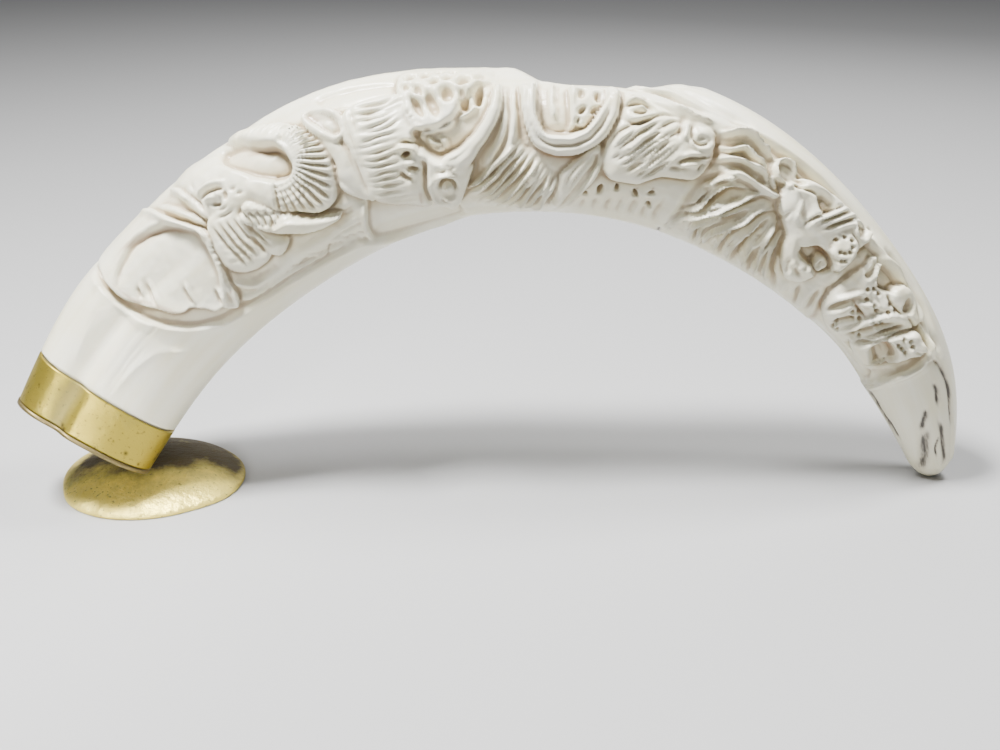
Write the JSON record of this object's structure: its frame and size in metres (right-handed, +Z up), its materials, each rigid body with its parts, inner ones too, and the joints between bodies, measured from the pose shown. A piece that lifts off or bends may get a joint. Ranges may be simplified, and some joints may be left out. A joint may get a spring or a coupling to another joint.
{
  "type": "carved warthog tusk on a brass foot",
  "caption": "Arched warthog tusk carved in relief with African animals, its root in a brass band on a domed brass foot and its tip on the ground.",
  "frame": {"origin": "middle of the whole object's footprint, at the surface it stands on", "axes": "+X from the brass foot to the tusk's tip, -Y the carved front, +Z up"},
  "size_m": [0.2306, 0.0442, 0.1026],
  "materials": {
    "ivory": "polished cream tusk ivory with dark age cracks at the tip",
    "brass_band": "dull pitted brass strip",
    "brass_plate": "dull brass sheet",
    "brass_foot": "hammered brass with brown patina"
  },
  "bodies": {
    "root": {"tusk": "ivory", "collar": "brass_band", "end_plate": "brass_plate", "foot": "brass_foot"}
  },
  "joints": []
}
